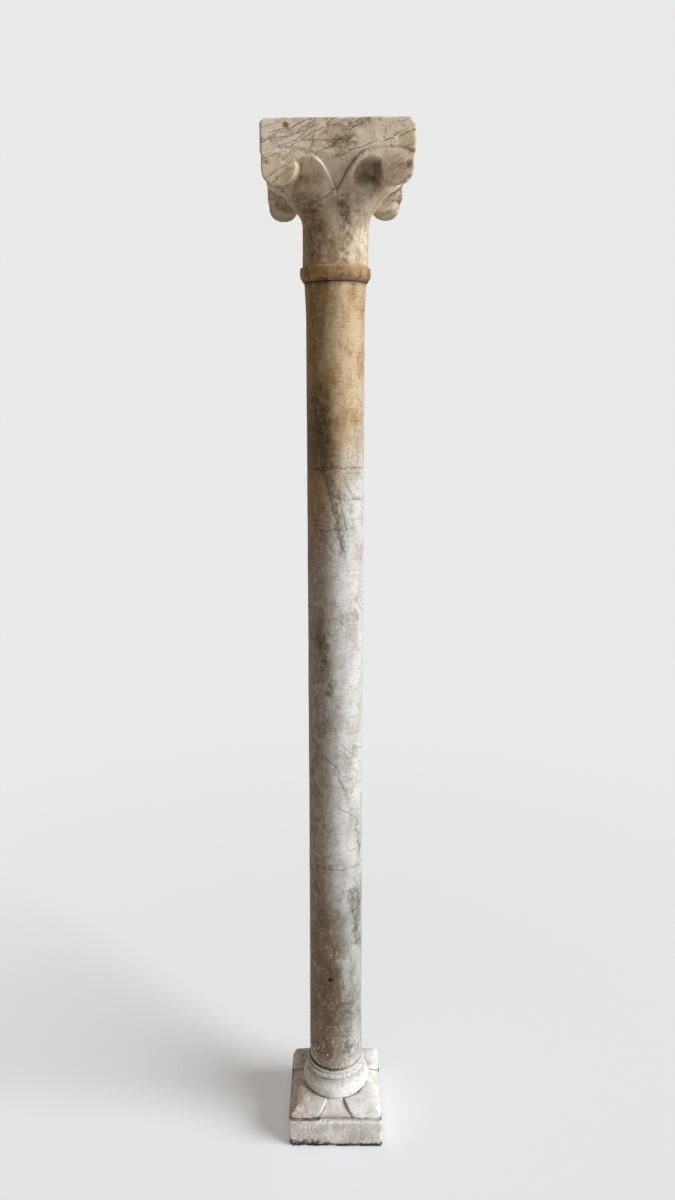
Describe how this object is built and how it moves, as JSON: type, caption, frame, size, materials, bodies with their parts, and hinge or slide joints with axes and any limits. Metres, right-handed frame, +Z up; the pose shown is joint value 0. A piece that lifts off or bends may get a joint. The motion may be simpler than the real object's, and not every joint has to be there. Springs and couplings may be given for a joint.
{
  "type": "marble column with volute capital",
  "caption": "Slender marble column: square base carved with leaves, plain tapering shaft, and a capital whose corner leaves curl into volutes under a square abacus. It carries an arch or beam.",
  "frame": {"origin": "middle of the base's underside, on the floor", "axes": "+Z up along the shaft to the abacus, -Y towards the picture's viewer, +X to the viewer's right"},
  "size_m": [0.263, 0.263, 2.1],
  "materials": {
    "base_marble": "weathered whitish marble, matt, with pitted and dirty edges",
    "shaft_marble": "worn veined marble, softly polished, stained ochre at the top and grey at the foot",
    "capital_marble": "worn beige marble with dark veins and brown staining"
  },
  "bodies": {
    "root": {"base": "base_marble", "shaft": "shaft_marble", "capital": "capital_marble"}
  },
  "joints": []
}
